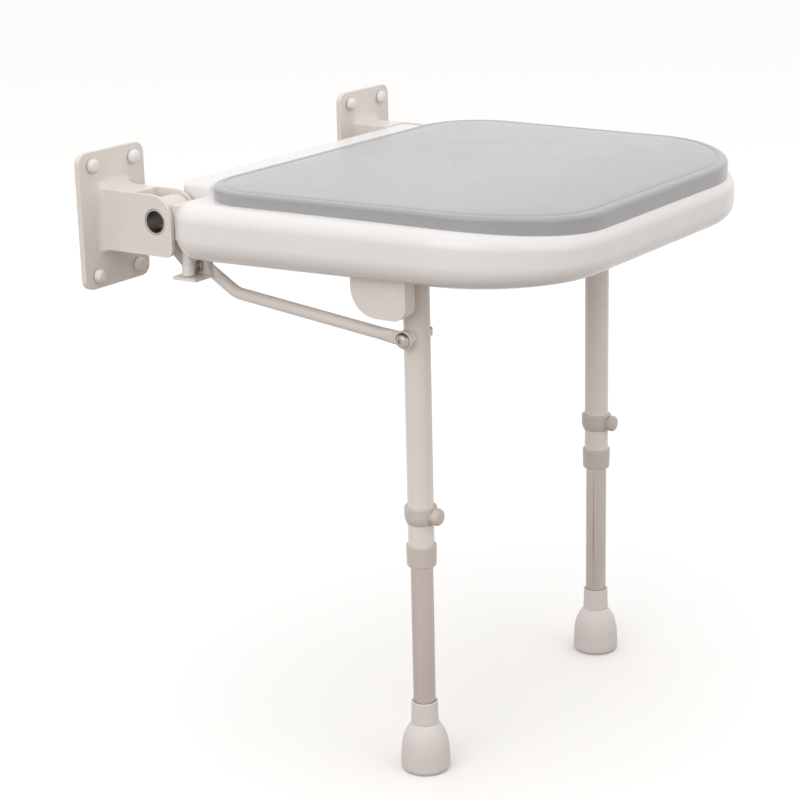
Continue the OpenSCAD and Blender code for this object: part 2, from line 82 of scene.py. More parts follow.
class MouldingSettings(bpy.types.PropertyGroup):
    rim_back: FloatProperty(
        name="Rim back", description="Distance of the rim's back from the wall",
        default=0.104, unit="LENGTH")
    rim_top: FloatProperty(
        name="Rim top", description="Height of the rim's top over the plates' centres",
        default=0.029, unit="LENGTH")
    front_narrowing: FloatProperty(
        name="Front narrowing", description="How much each side of the rim comes in at the front",
        default=0.027, unit="LENGTH")
    back_corner: FloatProperty(
        name="Back corner radius", description="Radius of the rim's back corners in plan",
        default=0.030, unit="LENGTH")
    front_corner: FloatProperty(
        name="Front corner radius", description="Radius of the rim's front corners in plan",
        default=0.128, unit="LENGTH")
    top_round: FloatProperty(
        name="Top round", description="Radius along the top edge of the rim",
        default=0.018, unit="LENGTH")
    bottom_round: FloatProperty(
        name="Bottom round", description="Radius along the bottom edge of the rim",
        default=0.024, unit="LENGTH")
    droop: FloatProperty(
        name="Front droop", description="How far the seat's front edge falls below its middle",
        default=0.009, unit="LENGTH")
    droop_start: FloatProperty(
        name="Droop start", description="Distance from the wall at which the seat starts to fall",
        default=0.385, unit="LENGTH")
    lip_half_width: FloatProperty(
        name="Lip half width", description="Half the width of the raised lip behind the pad",
        default=0.195, unit="LENGTH")
    lip_front: FloatProperty(
        name="Lip front", description="Distance of the lip's front from the wall",
        default=0.1135, unit="LENGTH")
    lip_depth: FloatProperty(
        name="Lip depth", description="Height of the lip's back face",
        default=0.047, unit="LENGTH")
    lip_round: FloatProperty(
        name="Lip round", description="Radius along the lip's top edge",
        default=0.006, unit="LENGTH")
    colour: FloatVectorProperty(
        name="Moulding colour", description="Colour of the glossy moulding",
        default=(0.80, 0.785, 0.785), subtype="COLOR", min=0, max=1)


class PadSettings(bpy.types.PropertyGroup):
    front_narrowing: FloatProperty(
        name="Front narrowing", description="How much each side of the pad comes in at the front",
        default=0.015, unit="LENGTH")
    front_swell: FloatProperty(
        name="Front swell", description="How far the soft front edge swells past the exact pad",
        default=0.005, unit="LENGTH")
    back_corner: FloatProperty(
        name="Back corner radius", description="Radius of the pad's back corners in plan",
        default=0.070, unit="LENGTH")
    front_corner: FloatProperty(
        name="Front corner radius", description="Radius of the pad's front corners in plan",
        default=0.118, unit="LENGTH")
    wall: FloatProperty(
        name="Wall", description="Height of the pad's steep side wall",
        default=0.0135, unit="LENGTH")
    seat_in: FloatProperty(
        name="Seating", description="How far the pad's foot reaches into the rim's round",
        default=0.0045, unit="LENGTH")
    band: FloatProperty(
        name="Band width", description="Width of the rolled band between the edge and the crease",
        default=0.0100, unit="LENGTH")
    crown: FloatProperty(
        name="Crown", description="How much the middle of the pad rises",
        default=0.0008, unit="LENGTH")
    colour: FloatVectorProperty(
        name="Pad colour", description="Colour of the pad's skin",
        default=(0.335, 0.342, 0.355), subtype="COLOR", min=0, max=1)


class MetalSettings(bpy.types.PropertyGroup):
    coat_colour: FloatVectorProperty(
        name="Coat colour", description="Colour of the powder coat on brackets, links and legs",
        default=(0.75, 0.71, 0.68), subtype="COLOR", min=0, max=1)
    steel_colour: FloatVectorProperty(
        name="Steel colour", description="Colour of pins, bolts and nuts",
        default=(0.42, 0.40, 0.38), subtype="COLOR", min=0, max=1)
    tube_colour: FloatVectorProperty(
        name="Polished tube colour", description="Colour of the polished inner leg tubes",
        default=(0.44, 0.385, 0.36), subtype="COLOR", min=0, max=1)
    edge_round: FloatProperty(
        name="Edge round", description="Radius along the edges of brackets and blocks",
        default=0.0012, unit="LENGTH")
    root_fillet: FloatProperty(
        name="Root fillet", description="Reach of the fillet between wall plate and arm",
        default=0.0085, unit="LENGTH")
    link_bend: FloatVectorProperty(
        name="Link bend", description="Place of the link's bend from its rear pivot",
        default=(0, -0.041, -0.025), subtype="TRANSLATION", unit="LENGTH")
    link_turn: FloatProperty(
        name="Link turn", description="Radius of the link's bend", default=0.030, unit="LENGTH")


class FittingSettings(bpy.types.PropertyGroup):
    cream_colour: FloatVectorProperty(
        name="Cream colour", description="Colour of collars, knobs and tube ends",
        default=(0.60, 0.545, 0.505), subtype="COLOR", min=0, max=1)
    cap_colour: FloatVectorProperty(
        name="Cap colour", description="Colour of the caps over the wall screws",
        default=(0.78, 0.765, 0.75), subtype="COLOR", min=0, max=1)
    nylon_colour: FloatVectorProperty(
        name="Nylon colour", description="Colour of bushes and levelling caps",
        default=(0.84, 0.83, 0.81), subtype="COLOR", min=0, max=1)
    rubber_colour: FloatVectorProperty(
        name="Rubber colour", description="Colour of the feet",
        default=(0.73, 0.69, 0.675), subtype="COLOR", min=0, max=1)


class StageSettings(bpy.types.PropertyGroup):
    camera_place: FloatVectorProperty(
        name="Camera place", description="Where the camera stands",
        default=(-1.7674, -1.4049, 0.4197), subtype="TRANSLATION", unit="LENGTH")
    azimuth: FloatProperty(
        name="Azimuth", description="Direction of the camera round the seat",
        default=math.radians(-55.6), unit="ROTATION")
    elevation: FloatProperty(
        name="Elevation", description="How far the camera looks down",
        default=math.radians(16.63), unit="ROTATION")
    roll: FloatProperty(
        name="Roll", description="Tilt of the camera about its own axis",
        default=math.radians(-1.35), unit="ROTATION")
    lens: FloatProperty(
        name="Lens", description="Focal length on a 36 mm sensor", default=95.15, unit="CAMERA")
    room_light: FloatProperty(
        name="Room light", description="Brightness of the even light all round", default=1.0)
    key_light: FloatProperty(
        name="Key light", description="Power of the large panel on the left",
        default=30, unit="POWER")
    top_light: FloatProperty(
        name="Top light", description="Power of the large panel overhead",
        default=12, unit="POWER")
    fill_light: FloatProperty(
        name="Fill light", description="Power of the panel in front", default=8, unit="POWER")
    floor_colour: FloatVectorProperty(
        name="Floor colour", description="Colour of the floor",
        default=(0.97, 0.97, 0.97), subtype="COLOR", min=0, max=1)
    bounce_colour: FloatVectorProperty(
        name="Bounce colour", description="Colour of the soft light that the floor throws back up",
        default=(0.25, 0.21, 0.18), subtype="COLOR", min=0, max=1)


class ShowerSeatSettings(bpy.types.PropertyGroup):
    moulding: PointerProperty(type=MouldingSettings)
    pad: PointerProperty(type=PadSettings)
    metal: PointerProperty(type=MetalSettings)
    fittings: PointerProperty(type=FittingSettings)
    stage: PointerProperty(type=StageSettings)


# ---- Mesh helpers ----


def bevel(bm, geom, radius, segments, affect="EDGES"):
    bmesh.ops.bevel(
        bm, geom=geom, offset=radius, offset_type="OFFSET", segments=segments, profile=0.5,
        affect=affect, material=-1, clamp_overlap=False, loop_slide=True)


def outline(bm, corners, radii, segments):
    """Makes a flat face through the corners, each rounded to its own radius."""
    verts = [bm.verts.new(corner) for corner in corners]
    bm.faces.new(verts)
    for i, (vert, radius) in enumerate(zip(verts, radii)):
        if radius:
            to_last = corners[i - 1] - corners[i]
            to_next = corners[(i + 1) % len(corners)] - corners[i]
            half_angle = to_last.angle(to_next) / 2
            bevel(bm, [vert], radius / math.tan(half_angle), segments, "VERTICES")
    bm.faces.ensure_lookup_table()
    return bm.faces[-1]


def plan(bm, half_back, back, half_front, front, height, radii, segments):
    """A flat outline that mirrors itself about the middle plane, for seat and pad."""
    return outline(
        bm, [Vector((-half_back, back, height)), Vector((-half_front, front, height)),
             Vector((half_front, front, height)), Vector((half_back, back, height))],
        radii, segments)


def pull(bm, face, move):
    """Extrudes a face by a vector and returns the face at its end."""
    grown = bmesh.ops.extrude_face_region(bm, geom=[face])["geom"]
    bmesh.ops.translate(
        bm, verts=[part for part in grown if isinstance(part, bmesh.types.BMVert)], vec=move)
    return next(part for part in grown if isinstance(part, bmesh.types.BMFace))


def inset(bm, face, width, rise):
    bmesh.ops.inset_region(
        bm, faces=[face], thickness=width, depth=rise, use_boundary=True, use_even_offset=True)


def level_edges(bm, height):
    """Edges that lie in the horizontal plane at a height."""
    return [edge for edge in bm.edges
            if all(abs(vert.co.z - height) < MERGE for vert in edge.verts)]


def lathe(profile, centre, axis, rounds=None, segments=72, hollow=False):
    """Spins a profile of (radius, distance along the axis) in millimetres; rounds its corners."""
    bm = bmesh.new()
    axis = Vector(axis)
    side = axis.orthogonal().normalized()
    verts = [bm.verts.new(centre + side * (r * MM) + axis * (d * MM)) for r, d in profile]
    ends = verts[1:] + verts[:1] if hollow else verts[1:]
    for start, end in zip(verts, ends):
        bm.edges.new((start, end))
    for i, radius in (rounds or {}).items():
        bevel(bm, [verts[i]], radius * MM, 4, "VERTICES")
    bmesh.ops.spin(
        bm, geom=bm.verts[:] + bm.edges[:], cent=centre, axis=axis, angle=math.tau,
        steps=segments, use_merge=True)
    return bm


def tidy(bm):
    """Merges doubled points and turns every face outwards."""
    bmesh.ops.remove_doubles(bm, verts=bm.verts, dist=MERGE)
    bmesh.ops.dissolve_degenerate(bm, edges=bm.edges, dist=MERGE)
    bmesh.ops.recalc_face_normals(bm, faces=bm.faces)
    return bm


def join(bm, *parts):
    """Adds other meshes to a mesh and frees them."""
    carrier = bpy.data.meshes.new("carrier")
    for part in parts:
        part.to_mesh(carrier)
        part.free()
        bm.from_mesh(carrier)
        carrier.clear_geometry()
    bpy.data.meshes.remove(carrier)
    return bm


def merged_copy(node):
    """A copy of a frame node with its triangles merged into flat faces."""
    bm = bmesh.new()
    bm.from_mesh(nodes[node].data)
    bmesh.ops.remove_doubles(bm, verts=bm.verts, dist=10 * MERGE)
    bmesh.ops.dissolve_limit(
        bm, angle_limit=math.radians(0.5), verts=bm.verts, edges=bm.edges)
    return bm


def droop(bm, s, bottom, top):
    """Lets the front of the seat fall in a soft curve, most at the top and not at the bottom."""
    for vert in bm.verts:
        ahead = (-s.droop_start - vert.co.y) / (-s.droop_start - rim_lo.y)
        if ahead > 0:
            share = min(1, max(0, (vert.co.z - bottom) / (top - bottom)))
            vert.co.z -= s.droop * ahead ** 2 * share


def make_piece(name, bm, body, material, replaced=(), rounding=0.0, segments=3):
    """Turns a mesh into a finished piece that rides on a body."""
    mesh = bpy.data.meshes.new(name)
    bm.to_mesh(mesh)
    bm.free()
    mesh.materials.append(material)
    mesh.shade_smooth()
    mesh.set_sharp_from_angle(angle=SHARP)
    piece = bpy.data.objects.new(name, mesh)
    bpy.context.scene.collection.objects.link(piece)
    if rounding:
        edges = piece.modifiers.new("Soft edges", "BEVEL")
        edges.width = rounding
        edges.segments = segments
        edges.limit_method = "ANGLE"
        edges.angle_limit = SHARP
        edges.use_clamp_overlap = True
        edges.harden_normals = True
    even = piece.modifiers.new("Even shading", "WEIGHTED_NORMAL")
    even.keep_sharp = True
    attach(piece, body)
    if replaced:
        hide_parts(*replaced)
    return piece


def centre_of(node):
    lo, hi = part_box(node)
    return (lo + hi) / 2


# ---- Node groups shared by the finishes ----


def new_group(name, inputs, outputs):
    group = bpy.data.node_groups.new(name, "ShaderNodeTree")
    for label, kind, value in inputs:
        socket = group.interface.new_socket(label, in_out="INPUT", socket_type=kind)
        socket.default_value = value
    for label, kind in outputs:
        group.interface.new_socket(label, in_out="OUTPUT", socket_type=kind)
    return group, group.nodes.new("NodeGroupInput"), group.nodes.new("NodeGroupOutput")


def add_node(tree, kind, settings=None, **inputs):
    """Adds a node; each input is a value or an output socket to link."""
    node = tree.nodes.new(kind)
    for key, value in (settings or {}).items():
        setattr(node, key, value)
    for label, value in inputs.items():
        socket = node.inputs[label.replace("_", " ")]
        if isinstance(value, bpy.types.NodeSocket):
            tree.links.new(value, socket)
        else:
            socket.default_value = value
    return node


def math_node(tree, operation, first, second, clamp=False):
    node = tree.nodes.new("ShaderNodeMath")
    node.operation = operation
    node.use_clamp = clamp
    for socket, value in zip(node.inputs, (first, second)):
        if isinstance(value, bpy.types.NodeSocket):
            tree.links.new(value, socket)
        else:
            socket.default_value = value
    return node.outputs[0]


def map_range(tree, value, low, high, to_low, to_high):
    node = add_node(tree, "ShaderNodeMapRange", Value=value, From_Min=low, From_Max=high)
    for label, target in (("To Min", to_low), ("To Max", to_high)):
        if isinstance(target, bpy.types.NodeSocket):
            tree.links.new(target, node.inputs[label])
        else:
            node.inputs[label].default_value = target
    return node.outputs["Result"]


def mix_colours(tree, amount, first, second, blend="MIX"):
    node = tree.nodes.new("ShaderNodeMix")
    node.data_type = "RGBA"
    node.blend_type = blend
    for socket, value in ((node.inputs[0], amount), (node.inputs[6], first),
                          (node.inputs[7], second)):
        if isinstance(value, bpy.types.NodeSocket):
            tree.links.new(value, socket)
        else:
            socket.default_value = value
    return node.outputs[2]


def build_tone_drift():
    """Colour that drifts a little over the surface, as a real coat or moulding does."""
    group, inside, out = new_group(
        "Tone drift",
        [("Colour", "NodeSocketColor", (0.8, 0.8, 0.8, 1)), ("Drift", "NodeSocketFloat", 0.05),
         ("Scale", "NodeSocketFloat", 8.0)],
        [("Colour", "NodeSocketColor")])
    place = add_node(group, "ShaderNodeTexCoord").outputs["Object"]
    cloud = add_node(group, "ShaderNodeTexNoise", Vector=place, Scale=inside.outputs["Scale"],
                     Detail=4.0, Roughness=0.55)
    darker = mix_colours(group, 1.0, inside.outputs["Colour"], (0.80, 0.76, 0.72, 1), "MULTIPLY")
    swing = map_range(group, cloud.outputs["Fac"], 0.35, 0.7, 0.0, 1.0)
    amount = math_node(group, "MULTIPLY", swing, inside.outputs["Drift"])
    group.links.new(mix_colours(group, amount, inside.outputs["Colour"], darker),
                    out.inputs["Colour"])
    return group


def build_edge_highlight_and_crease_shade():
    """Painted highlight and painted shade: a paler tone where edges stand out and a darker one in
    creases and corners, both found by pointiness.
    """
    group, inside, out = new_group(
        "Edge highlight and crease shade",
        [("Colour", "NodeSocketColor", (0.8, 0.8, 0.8, 1)),
         ("Rubbed", "NodeSocketColor", (0.9, 0.9, 0.9, 1)),
         ("Soiled", "NodeSocketColor", (0.4, 0.36, 0.32, 1)),
         ("Rub", "NodeSocketFloat", 0.3), ("Soil", "NodeSocketFloat", 0.3)],
        [("Colour", "NodeSocketColor")])
    bend = add_node(group, "ShaderNodeNewGeometry").outputs["Pointiness"]
    place = add_node(group, "ShaderNodeTexCoord").outputs["Object"]
    patch = add_node(group, "ShaderNodeTexNoise", Vector=place, Scale=120.0, Detail=5.0)
    broken = map_range(group, patch.outputs["Fac"], 0.35, 0.65, 0.2, 1.0)
    # Painted highlight: edges that stand out (high pointiness) are mixed towards a paler colour.
    ridge = math_node(group, "MULTIPLY", map_range(group, bend, 0.52, 0.62, 0.0, 1.0), broken)
    highlight_mask = math_node(group, "MULTIPLY", ridge, inside.outputs["Rub"], clamp=True)
    # Painted shade: creases and hollows (low pointiness) are mixed towards a darker colour.
    crease = math_node(group, "MULTIPLY", map_range(group, bend, 0.48, 0.38, 0.0, 1.0), broken)
    shade_mask = math_node(group, "MULTIPLY", crease, inside.outputs["Soil"], clamp=True)
    highlit = mix_colours(group, highlight_mask, inside.outputs["Colour"], inside.outputs["Rubbed"])
    group.links.new(mix_colours(group, shade_mask, highlit, inside.outputs["Soiled"]),
                    out.inputs["Colour"])
    return group


def build_handling():
    """Roughness with broad smears and fine wiping streaks."""
    group, inside, out = new_group(
        "Handling marks",
        [("Roughness", "NodeSocketFloat", 0.3), ("Spread", "NodeSocketFloat", 0.08),
         ("Scale", "NodeSocketFloat", 14.0)],
        [("Roughness", "NodeSocketFloat")])
    place = add_node(group, "ShaderNodeTexCoord").outputs["Object"]
    smear = add_node(group, "ShaderNodeTexNoise", Vector=place, Scale=inside.outputs["Scale"],
                     Detail=3.0, Distortion=1.2)
    turned = add_node(group, "ShaderNodeMapping", Vector=place, Scale=(12.0, 90.0, 40.0),
                      Rotation=(0.0, 0.0, 0.5))
    streak = add_node(group, "ShaderNodeTexNoise", Vector=turned.outputs["Vector"], Scale=6.0,
                      Detail=6.0, Roughness=0.7)
    both = math_node(group, "ADD", math_node(group, "MULTIPLY", smear.outputs["Fac"], 0.7),
                     math_node(group, "MULTIPLY", streak.outputs["Fac"], 0.3))
    swing = map_range(group, both, 0.3, 0.7, -1.0, 1.0)
    change = math_node(group, "MULTIPLY", swing, inside.outputs["Spread"])
    group.links.new(math_node(group, "ADD", inside.outputs["Roughness"], change, clamp=True),
                    out.inputs["Roughness"])
    return group


def build_orange_peel():
    """Height of a sprayed or baked coat: soft dimples with a finer tooth on them."""
    group, inside, out = new_group(
        "Orange peel", [("Dimples", "NodeSocketFloat", 420.0), ("Tooth", "NodeSocketFloat", 1800.0)],
        [("Height", "NodeSocketFloat")])
    place = add_node(group, "ShaderNodeTexCoord").outputs["Object"]
    broad = add_node(group, "ShaderNodeTexNoise", Vector=place, Scale=inside.outputs["Dimples"],
                     Detail=2.0)
    fine = add_node(group, "ShaderNodeTexNoise", Vector=place, Scale=inside.outputs["Tooth"],
                    Detail=3.0)
    group.links.new(
        math_node(group, "ADD", math_node(group, "MULTIPLY", broad.outputs["Fac"], 0.75),
                  math_node(group, "MULTIPLY", fine.outputs["Fac"], 0.25)),
        out.inputs["Height"])
    return group


def build_skin_grain():
    """Height of a moulded skin: shallow pebbles parted by fine creases."""
    group, inside, out = new_group(
        "Skin grain", [("Pebbles", "NodeSocketFloat", 700.0), ("Swell", "NodeSocketFloat", 22.0)],
        [("Height", "NodeSocketFloat")])
    place = add_node(group, "ShaderNodeTexCoord").outputs["Object"]
    warp = add_node(group, "ShaderNodeTexNoise", Vector=place, Scale=200.0, Detail=2.0)
    bent = mix_colours(group, 0.004, place, warp.outputs["Color"], "ADD")
    cells = add_node(group, "ShaderNodeTexVoronoi", {"feature": "DISTANCE_TO_EDGE"}, Vector=bent,
                     Scale=inside.outputs["Pebbles"])
    crease = map_range(group, cells.outputs["Distance"], 0.0, 0.12, 0.0, 1.0)
    swell = add_node(group, "ShaderNodeTexNoise", Vector=place, Scale=inside.outputs["Swell"],
                     Detail=1.0)
    group.links.new(
        math_node(group, "ADD", math_node(group, "MULTIPLY", crease, 0.12),
                  math_node(group, "MULTIPLY", swell.outputs["Fac"], 0.88)),
        out.inputs["Height"])
    return group


def build_brushing():
    """Height of fine lines drawn along the vertical, for turned and polished metal."""
    group, inside, out = new_group(
        "Brushing", [("Along", "NodeSocketFloat", 12.0), ("Across", "NodeSocketFloat", 2400.0)],
        [("Height", "NodeSocketFloat")])
    place = add_node(group, "ShaderNodeTexCoord").outputs["Object"]
    spread = add_node(group, "ShaderNodeCombineXYZ", X=inside.outputs["Across"],
                      Y=inside.outputs["Across"], Z=inside.outputs["Along"])
    scaled = add_node(group, "ShaderNodeVectorMath", {"operation": "MULTIPLY"})
    group.links.new(place, scaled.inputs[0])
    group.links.new(spread.outputs["Vector"], scaled.inputs[1])
    lines = add_node(group, "ShaderNodeTexNoise", Vector=scaled.outputs["Vector"], Scale=1.0,
                     Detail=4.0, Roughness=0.6)
    group.links.new(lines.outputs["Fac"], out.inputs["Height"])
    return group


GROUPS = {
    "Tone drift": build_tone_drift,
    "Edge highlight and crease shade": build_edge_highlight_and_crease_shade,
    "Handling marks": build_handling,
    "Orange peel": build_orange_peel,
    "Skin grain": build_skin_grain,
    "Brushing": build_brushing,
}


def place_group(tree, name, **inputs):
    """Places a shared node group in a material, and builds the group the first time."""
    node = tree.nodes.new("ShaderNodeGroup")
    node.node_tree = bpy.data.node_groups.get(name) or GROUPS[name]()
    for label, value in inputs.items():
        if isinstance(value, bpy.types.NodeSocket):
            tree.links.new(value, node.inputs[label])
        else:
            node.inputs[label].default_value = value
    return node


# Each finish: settings group, its colour, roughness and its spread, tone drift, painted edge
# highlight, painted crease shade, grain, values of the grain, depth of the grain in metres, and what
# is set once on the shader.
FINISHES = {
    "Powder coat": (
        "metal", "coat_colour", 0.34, 0.06, 0.25, 0.5, 0.55,
        "Orange peel", {"Dimples": 420.0, "Tooth": 1900.0}, 0.00010,
        {"Coat Weight": 0.25, "Coat Roughness": 0.2, "IOR": 1.5}),
    "Gloss moulding": (
        "moulding", "colour", 0.24, 0.05, 0.10, 0.3, 0.3,
        "Orange peel", {"Dimples": 160.0, "Tooth": 1500.0}, 0.00003,
        {"Coat Weight": 0.15, "Coat Roughness": 0.12, "IOR": 1.49,
         "Subsurface Weight": 0.05, "Subsurface Radius": (0.004, 0.004, 0.004)}),
    "Pad skin": (
        "pad", "colour", 0.23, 0.06, 0.10, 0.2, 0.5,
        "Skin grain", {"Pebbles": 750.0, "Swell": 20.0}, 0.00016,
        {"Coat Weight": 0.35, "Coat Roughness": 0.15, "IOR": 1.5, "Specular IOR Level": 0.6}),
    "Turned steel": (
        "metal", "steel_colour", 0.32, 0.08, 0.5, 0.5, 0.6,
        "Brushing", {"Along": 1400.0, "Across": 60.0}, 0.00004, {"Metallic": 1.0}),
    "Polished tube": (
        "metal", "tube_colour", 0.13, 0.05, 0.30, 0.4, 0.4,
        "Brushing", {"Along": 10.0, "Across": 2600.0}, 0.00002, {"Metallic": 1.0}),
    "Cream plastic": (
        "fittings", "cream_colour", 0.42, 0.07, 0.3, 0.6, 0.6,
        "Orange peel", {"Dimples": 900.0, "Tooth": 3200.0}, 0.00006, {"IOR": 1.5}),
    "Cap plastic": (
        "fittings", "cap_colour", 0.3, 0.05, 0.15, 0.4, 0.5,
        "Orange peel", {"Dimples": 700.0, "Tooth": 2600.0}, 0.00005, {"IOR": 1.49}),
    "White nylon": (
        "fittings", "nylon_colour", 0.38, 0.05, 0.15, 0.4, 0.5,
        "Orange peel", {"Dimples": 800.0, "Tooth": 2600.0}, 0.00005,
        {"Subsurface Weight": 0.1, "Subsurface Radius": (0.003, 0.003, 0.003)}),
    "Foot rubber": (
        "fittings", "rubber_colour", 0.58, 0.08, 0.35, 0.4, 0.7,
        "Skin grain", {"Pebbles": 1600.0, "Swell": 90.0}, 0.00012, {"IOR": 1.45}),
}


def finish(name):
    """Builds a finish: drifting colour, painted edge highlight and crease shade, handling marks and
    its own grain.
    """
    known = bpy.data.materials.get(name)
    if known:
        return known
    (group, label, roughness, spread, drift, edge_light, crease_dark, grain, grain_values, depth,
     fixed) = FINISHES[name]
    colour = getattr(getattr(bpy.context.scene.shower_seat, group), label)
    material = bpy.data.materials.new(name)
    material.use_nodes = True
    tree = material.node_tree
    shader = tree.nodes["Principled BSDF"]
    for socket, value in fixed.items():
        shader.inputs[socket].default_value = value
    tone = place_group(tree, "Tone drift", Colour=(*colour, 1), Drift=drift, Scale=9.0)
    # The paler colour is a painted highlight for edges; the darker one is painted shade for creases.
    paler = (min(1.0, 1.18 * part) for part in colour)
    edge = place_group(tree, "Edge highlight and crease shade", Colour=tone.outputs["Colour"], Rubbed=(*paler, 1),
                       Soiled=(*(0.45 * part for part in colour), 1), Rub=edge_light, Soil=crease_dark)
    marks = place_group(tree, "Handling marks", Roughness=roughness, Spread=spread)
    relief = place_group(tree, grain, **grain_values)
    bump = add_node(tree, "ShaderNodeBump", Height=relief.outputs["Height"], Strength=1.0,
                    Distance=depth)
    tree.links.new(edge.outputs["Colour"], shader.inputs["Base Color"])
    tree.links.new(marks.outputs["Roughness"], shader.inputs["Roughness"])
    tree.links.new(bump.outputs["Normal"], shader.inputs["Normal"])
    return material


# ---- Seat ----


class SHOWERSEAT_OT_moulding(bpy.types.Operator):
    """Build the seat's moulded rim, the raised lip behind the pad and the recess below"""

    bl_idname = "showerseat.moulding"
    bl_label = "Seat moulding"

    def execute(self, context):
        s = context.scene.shower_seat.moulding
        top, bottom = s.rim_top, rim_lo.z
        wide, narrow = rim_hi.x, rim_hi.x - s.front_narrowing
        back, front = -s.rim_back, rim_lo.y
        bm = bmesh.new()
        face = plan(bm, wide, back, narrow, front, top,
                    [s.back_corner, s.front_corner, s.front_corner, s.back_corner], 24)
        pull(bm, face, Vector((0, 0, bottom - top)))
        bevel(bm, level_edges(bm, top), s.top_round, 10)
        bevel(bm, level_edges(bm, bottom), s.bottom_round, 10)
        tidy(bm)
        floor = min(bm.faces, key=lambda each: each.calc_center_median().z)
        inset(bm, floor, 1.5 * MM, 0)
        inset(bm, floor, 0.5 * MM, -4 * MM)
        droop(bm, s, bottom, top)

        lip = bmesh.new()
        half, lip_front, lip_back, lip_top = s.lip_half_width, -s.lip_front, rim_hi.y, rim_hi.z
        corner = 10 * MM
        face = plan(lip, half, lip_back, half, lip_front, lip_top, [corner] * 4, 10)
        pull(lip, face, Vector((0, 0, -s.lip_depth)))
        bevel(lip, level_edges(lip, lip_top), s.lip_round, 6)
        bevel(lip, level_edges(lip, lip_top - s.lip_depth), 3 * MM, 5)
        tidy(lip)

        web = bmesh.new()
        inner = half - 4 * MM
        face = plan(web, inner, lip_front + 12 * MM, inner, back - 20 * MM, top, [0] * 4, 1)
        pull(web, face, Vector((0, 0, lip_top - s.lip_depth + 2 * MM - top)))
        join(bm, lip, tidy(web))
        make_piece("moulded_rim", bm, "seat", finish("Gloss moulding"), ["seat_shell"])
        return {"FINISHED"}


class SHOWERSEAT_OT_pad(bpy.types.Operator):
    """Build the padded seat top with its rolled band, crease and crowned middle"""

    bl_idname = "showerseat.pad"
    bl_label = "Seat pad"

    def execute(self, context):
        s = context.scene.shower_seat.pad
        wide, narrow = pad_hi.x, pad_hi.x - s.front_narrowing
        foot, front = pad_lo.z - s.seat_in, pad_lo.y - s.front_swell
        bm = bmesh.new()
        face = plan(bm, wide, pad_hi.y, narrow, front, foot,
                    [s.back_corner, s.front_corner, s.front_corner, s.back_corner], 24)
        top = pull(bm, face, Vector((0, 0, s.wall)))
        bmesh.ops.recalc_face_normals(bm, faces=bm.faces)
        roll = [(0.3, 1.1), (0.6, 1.0), (1.0, 0.8), (1.3, 0.5), (1.6, 0.25), (1.8, 0.05),
                (1.2, -0.15), (0.9, -0.35), (0.6, -0.4), (0.4, -0.1)]
        stretch = s.band / sum(width * MM for width, rise in roll)
        rise_back = [(0.4, 0.15), (0.7, 0.4), (1.2, 0.4), (2.0, 0.3), (3.5, 0.25), (6.0, 0.15)]
        for width, rise in roll:
            inset(bm, top, width * stretch * MM, rise * MM)
        for width, rise in rise_back:
            inset(bm, top, width * MM, rise * MM)
        self.crown(bm, top, s.crown)
        moulding = context.scene.shower_seat.moulding
        droop(bm, moulding, rim_lo.z, moulding.rim_top - s.seat_in)
        tidy(bm)
        pad = make_piece("padded_top", bm, "seat", finish("Pad skin"), ["seat_pad"])
        return {"FINISHED"}

    def crown(self, bm, face, crown):
        """Cuts the middle into a grid and lifts it into a shallow dome with a soft dish in it."""
        level = face.calc_center_median().z
        reach = max(v.co.x for v in face.verts)
        near = min(v.co.y for v in face.verts)
        far = max(v.co.y for v in face.verts)
        rim = set(face.verts)
        cells = 28
        for k in range(1, cells):
            for spot, direction in ((Vector((reach * (2 * k / cells - 1), 0, level)), (1, 0, 0)),
                                    (Vector((0, near + (far - near) * k / cells, level)), (0, 1, 0))):
                middle = [part for part in bm.faces
                          if all(abs(vert.co.z - level) < MERGE for vert in part.verts)]
                geom = {part for each in middle for part in (each, *each.edges, *each.verts)}
                bmesh.ops.bisect_plane(bm, geom=list(geom), dist=MERGE, plane_co=spot,
                                       plane_no=direction)
        edge_verts = {vert for vert in bm.verts if abs(vert.co.z - level) < MERGE
                      and (vert in rim or any(abs(other.other_vert(vert).co.z - level) > MERGE
                                              for other in vert.link_edges)
                           or any(each.calc_center_median().z < level - MERGE
                                  for each in vert.link_faces))}
        centre = (near + far) / 2
        for vert in bm.verts:
            if abs(vert.co.z - level) < MERGE and vert not in edge_verts:
                across = vert.co.x / reach
                along = (vert.co.y - centre) / ((far - near) / 2)
                dome = max(0, 1 - across ** 2) * max(0, 1 - along ** 2)
                dish = math.exp(-6 * (across ** 2 + (along - 0.1) ** 2))
                vert.co.z += crown * (dome ** 0.5 - 0.55 * dish)


class SHOWERSEAT_OT_underside(bpy.types.Operator):
    """Give the cover, its screws and the seat frame their edges and finishes"""

    bl_idname = "showerseat.underside"
    bl_label = "Seat underside"

    def execute(self, context):
        make_piece("bottom_cover", merged_copy("base_cover"), "seat", finish("Gloss moulding"),
                   ["base_cover"], 0.5 * MM)
        make_piece("cover_screws", merged_copy("seat_screws"), "seat", finish("Turned steel"),
                   ["seat_screws"], 0.7 * MM)
        make_piece("welded_frame", merged_copy("seat_frame"), "seat", finish("Powder coat"),
                   ["seat_frame"], 0.8 * MM)
        return {"FINISHED"}


# ---- Wall brackets ----


